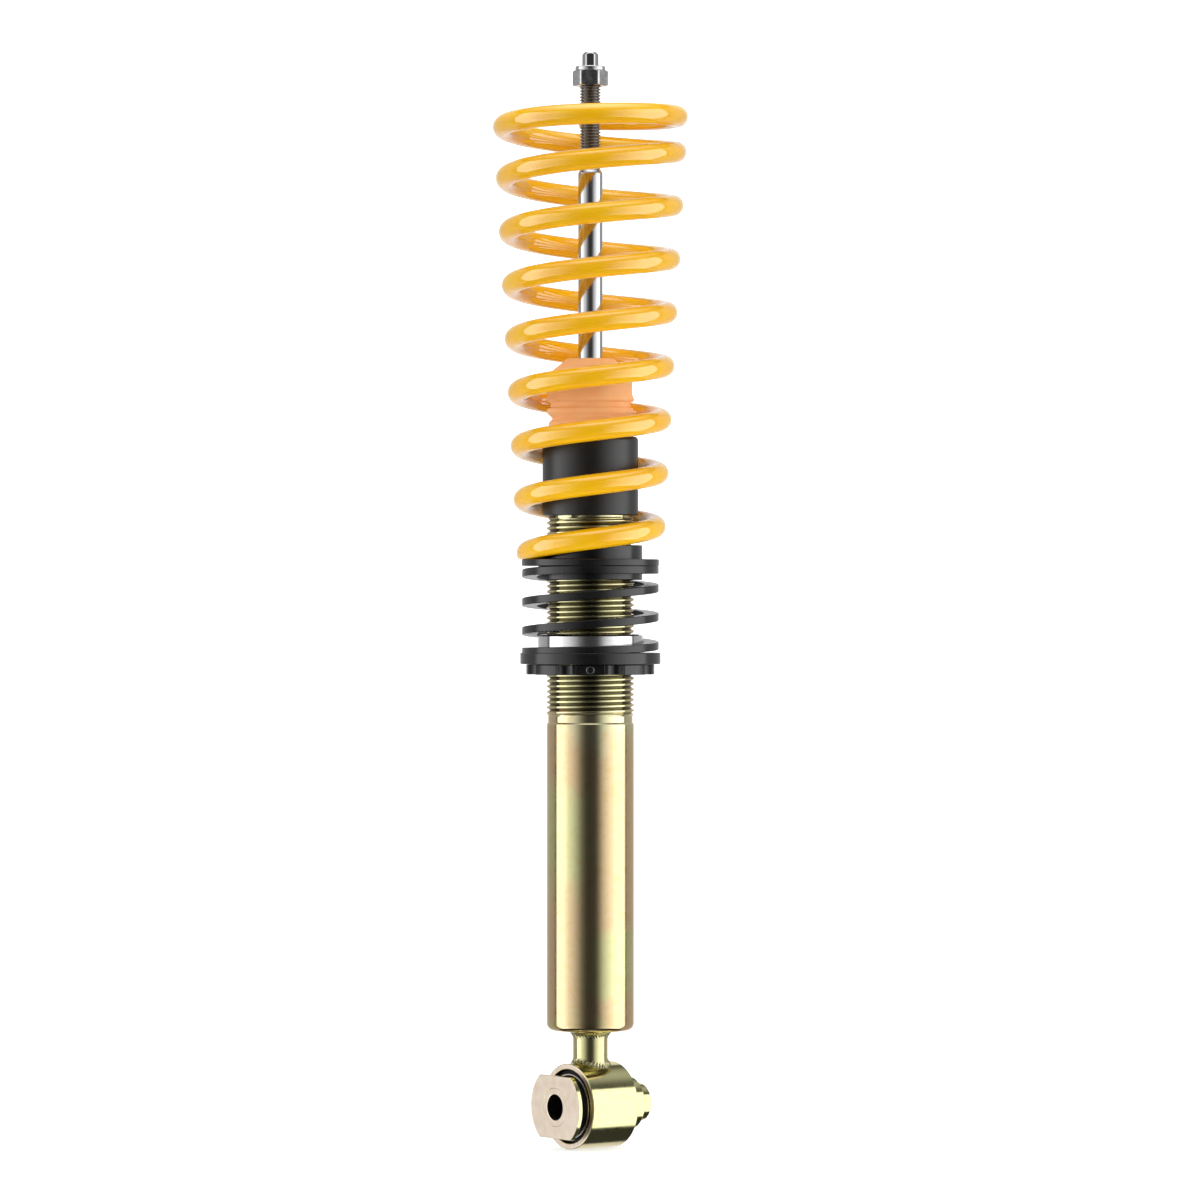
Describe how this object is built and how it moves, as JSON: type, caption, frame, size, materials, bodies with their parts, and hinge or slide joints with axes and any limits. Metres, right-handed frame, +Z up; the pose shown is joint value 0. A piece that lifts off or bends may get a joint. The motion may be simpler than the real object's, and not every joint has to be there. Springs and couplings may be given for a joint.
{
  "type": "coilover",
  "caption": "Threaded coilover damper with a conical coil spring, flat-wire helper spring, screw height collar, bump stop and a rubber-bushed lower eye.",
  "frame": {"origin": "centre of the lower bush bore, on the damper's own axis", "axes": "+Z up the damper from the eye to the rod's tip; the bolt axis lies level, turned 217 degrees from +X, so that -Y is the side the lock screw faces"},
  "size_m": [0.1106, 0.1106, 0.6246],
  "materials": {
    "zinc_gold": "yellow passivated zinc plate, semi-gloss",
    "black_coat": "satin black coating",
    "black_spring": "semi-gloss black coating on flat spring wire",
    "yellow_spring": "gloss yellow powder coat on spring wire",
    "bright_steel": "turned, bright zinc",
    "chrome_rod": "hard chrome, ground and polished",
    "black_plastic": "moulded nylon, satin",
    "foam": "microcellular polyurethane, matt",
    "rubber": "moulded rubber, matt",
    "light_alloy": "as machined",
    "bronze": "sintered bronze lining",
    "slide_band": "filled PTFE band",
    "nylon": "natural nylon"
  },
  "bodies": {
    "damper_body": {"outer_tube": "zinc_gold", "base_cup": "zinc_gold", "neck_bar": "zinc_gold", "upper_weld": "zinc_gold", "lower_weld": "zinc_gold", "eye_ring": "zinc_gold", "bush_outer_rubber": "rubber", "bush_shell": "bright_steel", "bush_rubber": "rubber", "pressure_tube": "bright_steel", "foot_valve": "light_alloy", "foot_valve_bolt": "bright_steel", "foot_valve_shims": "bright_steel", "foot_valve_nut": "bright_steel", "rod_guide": "light_alloy", "guide_bush": "bronze", "guide_o_ring": "rubber", "rod_seal": "rubber", "top_cap": "bright_steel", "strike_cap": "black_plastic"},
    "rod": {"piston_rod": "chrome_rod", "piston": "light_alloy", "piston_band": "slide_band", "bump_shims": "bright_steel", "rebound_shims": "bright_steel", "piston_nut": "bright_steel", "rebound_collar": "bright_steel", "rebound_bumper": "rubber", "top_nut": "bright_steel"},
    "bump_stop": {"bump_stop": "foam"},
    "spring_plate": {"spring_plate": "black_coat", "centring_sleeve": "bright_steel", "helper_spring": "black_spring"},
    "adjuster_ring": {"adjuster_ring": "black_coat", "lock_screw": "bright_steel", "lock_pad": "nylon"},
    "adapter": {"spring_adapter": "black_coat"},
    "main_spring": {"main_spring": "yellow_spring"},
    "bush_sleeve": {"bush_sleeve": "zinc_gold", "bush_washer": "zinc_gold", "distance_collar": "zinc_gold"}
  },
  "joints": [
    {"name": "rod_slide", "type": "slide", "parent": "damper_body", "child": "rod", "axis": [0, 0, 1], "range_m": [-0.1, 0], "stiffness_N_per_m": 400, "springref_m": 0.2},
    {"name": "bump_slide", "type": "slide", "parent": "damper_body", "child": "bump_stop", "axis": [0, 0, 1], "range_m": [0, 0.05]},
    {"name": "perch_lift", "type": "slide", "parent": "damper_body", "child": "spring_plate", "axis": [0, 0, 1], "range_m": [-0.01805, 0.03005]},
    {"name": "collar_turn", "type": "hinge", "parent": "spring_plate", "child": "adjuster_ring", "pos_m": [0, 0, 0.2483], "axis": [0, 0, 1], "range_deg": [-2160, 3600]},
    {"name": "adapter_drop", "type": "slide", "parent": "spring_plate", "child": "adapter", "axis": [0, 0, 1], "range_m": [-0.02605, 0.00005], "deforming": ["helper_spring"]},
    {"name": "spring_squeeze", "type": "slide", "parent": "adapter", "child": "main_spring", "axis": [0, 0, 1], "range_m": [-0.07405, 0.00005], "deforming": ["main_spring"]},
    {"name": "bush_twist", "type": "hinge", "parent": "damper_body", "child": "bush_sleeve", "pos_m": [0, 0, 0], "axis": [-0.7986, -0.6018, 0], "range_deg": [-15, 15], "stiffness_Nm_per_rad": 40}
  ],
  "couplings": [
    {"joint": "perch_lift", "follows": "collar_turn", "m_per_rad": 0.00047746},
    {"joint": "adapter_drop", "follows": "rod_slide", "ratio": 0.26},
    {"joint": "spring_squeeze", "follows": "rod_slide", "ratio": 0.74}
  ]
}
